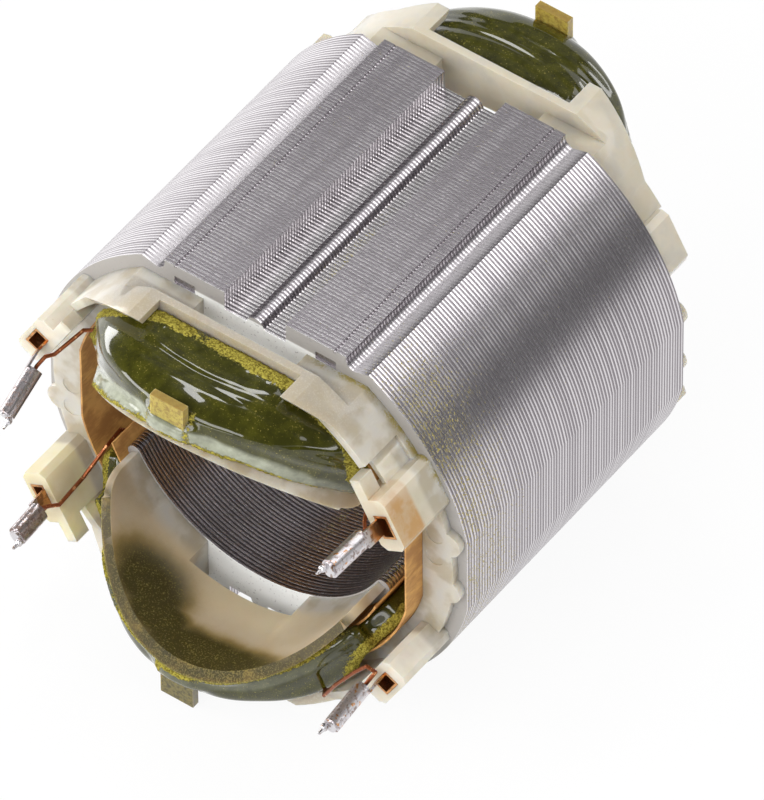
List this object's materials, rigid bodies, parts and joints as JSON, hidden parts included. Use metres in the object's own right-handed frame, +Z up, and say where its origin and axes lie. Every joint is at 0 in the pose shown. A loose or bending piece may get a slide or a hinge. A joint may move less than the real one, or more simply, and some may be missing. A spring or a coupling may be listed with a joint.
{
  "type": "power tool stator",
  "caption": "Two-pole field stator of a power tool motor: ribbed steel lamination stack with resin-coated saddle coils, moulded end insulators and crimped lead terminals.",
  "frame": {"origin": "on the bore axis, midway along the lamination stack", "axes": "+Y along the bore towards the rear end, -Y towards the terminal end, +Z up from the lower lands, +X to the right seen from the terminal end"},
  "size_m": [0.0738, 0.0977, 0.0662],
  "materials": {
    "core_steel": "bare punched sheet edges",
    "nylon": "milky translucent moulding",
    "coil_resin": "thick glossy olive resin over windings",
    "slot_paper": "tan pressboard",
    "terminal_metal": "bare, slightly tarnished",
    "solder": "tinned, lumpy",
    "wire_copper": "enamelled copper"
  },
  "bodies": {
    "root": {"lamination_stack": "core_steel", "front_insulator": "nylon", "rear_insulator": "nylon", "upper_coil": "coil_resin", "lower_coil": "coil_resin", "upper_left_paper": "slot_paper", "upper_right_paper": "slot_paper", "lower_left_paper": "slot_paper", "lower_right_paper": "slot_paper", "upper_left_terminal": "terminal_metal", "upper_right_terminal": "terminal_metal", "lower_left_terminal": "terminal_metal", "lower_right_terminal": "terminal_metal", "upper_left_solder": "solder", "upper_right_solder": "solder", "lower_left_solder": "solder", "lower_right_solder": "solder", "upper_left_lead": "wire_copper", "upper_right_lead": "wire_copper", "lower_left_lead": "wire_copper", "lower_right_lead": "wire_copper"}
  },
  "joints": []
}
